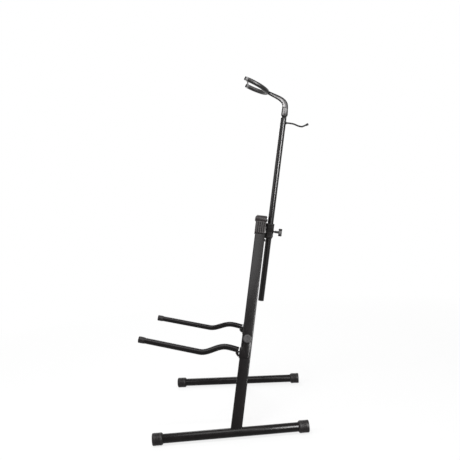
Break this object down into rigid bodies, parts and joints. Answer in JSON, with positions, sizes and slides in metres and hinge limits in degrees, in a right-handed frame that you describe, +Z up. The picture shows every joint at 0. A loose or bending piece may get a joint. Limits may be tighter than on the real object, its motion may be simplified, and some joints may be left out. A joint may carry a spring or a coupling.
{
  "type": "cello stand",
  "caption": "Folding cello stand: A-frame legs on long feet, fold-up rest arms, sliding neck tube with a folding U-shaped yoke and strap, and a hook for the bow.",
  "frame": {"origin": "on the floor, under the middle of the open stand's bounding box", "axes": "+Z up, -Y to the front, where the rest arms reach, +X to the right when looking along +Y"},
  "size_m": [0.6238, 0.614, 1.1446],
  "materials": {
    "paint": "satin black paint",
    "gloss_paint": "gloss black paint",
    "dark_plastic": "matte dark grey moulding",
    "black_plastic": "satin black moulding",
    "black_cast": "satin black casting",
    "rubber": "matte",
    "pale_plastic": "satin grey",
    "pale_rubber": "matte light grey",
    "cast_silver": "cast, dull, with dark rims",
    "black_steel": "blackened",
    "zinc": "bright zinc plate"
  },
  "bodies": {
    "hub": {"hinge_housing": "dark_plastic", "hinge_bolt_right": "black_steel", "hinge_bolt_left": "black_steel", "hinge_nut_right": "black_steel", "hinge_nut_left": "black_steel", "neck_tube_holder": "black_plastic", "holder_bolt": "zinc"},
    "neck": {"neck_tube": "gloss_paint", "neck_tube_plug": "rubber", "fold_tongue": "black_cast", "bow_hook": "gloss_paint", "bow_hook_bush": "rubber", "bow_hook_tip": "rubber"},
    "clamp": {"clamp_screw": "black_cast", "clamp_bar": "pale_plastic", "clamp_bar_end_upper": "rubber", "clamp_bar_end_lower": "rubber"},
    "yoke": {"gooseneck": "cast_silver", "fold_pin": "black_steel", "yoke_rod": "zinc", "yoke_sleeve": "rubber", "neck_strap": "pale_rubber", "tip_button_right": "rubber", "tip_button_left": "rubber"},
    "leg_right": {"leg_end_right": "dark_plastic", "leg_tube_right": "paint", "foot_tube_right": "paint", "foot_cap_front_right": "rubber", "foot_cap_rear_right": "rubber", "arm_bolt_right": "black_steel"},
    "arm_right": {"arm_bracket_right": "paint", "arm_tube_right": "paint", "arm_cap_right": "rubber"},
    "knob_right": {"arm_knob_right": "pale_plastic"},
    "leg_left": {"leg_end_left": "dark_plastic", "leg_tube_left": "paint", "foot_tube_left": "paint", "foot_cap_front_left": "rubber", "foot_cap_rear_left": "rubber", "arm_bolt_left": "black_steel"},
    "arm_left": {"arm_bracket_left": "paint", "arm_tube_left": "paint", "arm_cap_left": "rubber"},
    "knob_left": {"arm_knob_left": "pale_plastic"}
  },
  "joints": [
    {"name": "leg_right_fold", "type": "hinge", "parent": "hub", "child": "leg_right", "pos_m": [0.014, 0.1221, 0.66105], "axis": [0, 0.9803, -0.1977], "range_deg": [0, 20.9]},
    {"name": "arm_right_fold", "type": "hinge", "parent": "leg_right", "child": "arm_right", "pos_m": [0.16768, 0.04538, 0.28055], "axis": [-0.9298, -0.0728, -0.3609], "range_deg": [0, 90]},
    {"name": "knob_right_turn", "type": "hinge", "parent": "leg_right", "child": "knob_right", "pos_m": [0.16768, 0.04538, 0.28055], "axis": [0.9298, 0.0728, 0.3609], "range_deg": [0, 360]},
    {"name": "leg_left_fold", "type": "hinge", "parent": "hub", "child": "leg_left", "pos_m": [-0.014, 0.1221, 0.66105], "axis": [0, -0.9803, 0.1977], "range_deg": [0, 20.9]},
    {"name": "arm_left_fold", "type": "hinge", "parent": "leg_left", "child": "arm_left", "pos_m": [-0.16768, 0.04538, 0.28055], "axis": [-0.9298, 0.0728, 0.3609], "range_deg": [0, 90]},
    {"name": "knob_left_turn", "type": "hinge", "parent": "leg_left", "child": "knob_left", "pos_m": [-0.16768, 0.04538, 0.28055], "axis": [-0.9298, 0.0728, 0.3609], "range_deg": [0, 360]},
    {"name": "neck_slide", "type": "slide", "parent": "hub", "child": "neck", "axis": [0, 0.1977, 0.9803], "range_m": [-0.34, 0.2]},
    {"name": "clamp_turn", "type": "hinge", "parent": "hub", "child": "clamp", "pos_m": [0, 0.14576, 0.61751], "axis": [0, 0.9803, -0.1977], "range_deg": [0, 360]},
    {"name": "yoke_fold", "type": "hinge", "parent": "neck", "child": "yoke", "pos_m": [0, 0.22758, 1.01672], "axis": [1, 0, 0], "range_deg": [0, 100]}
  ]
}
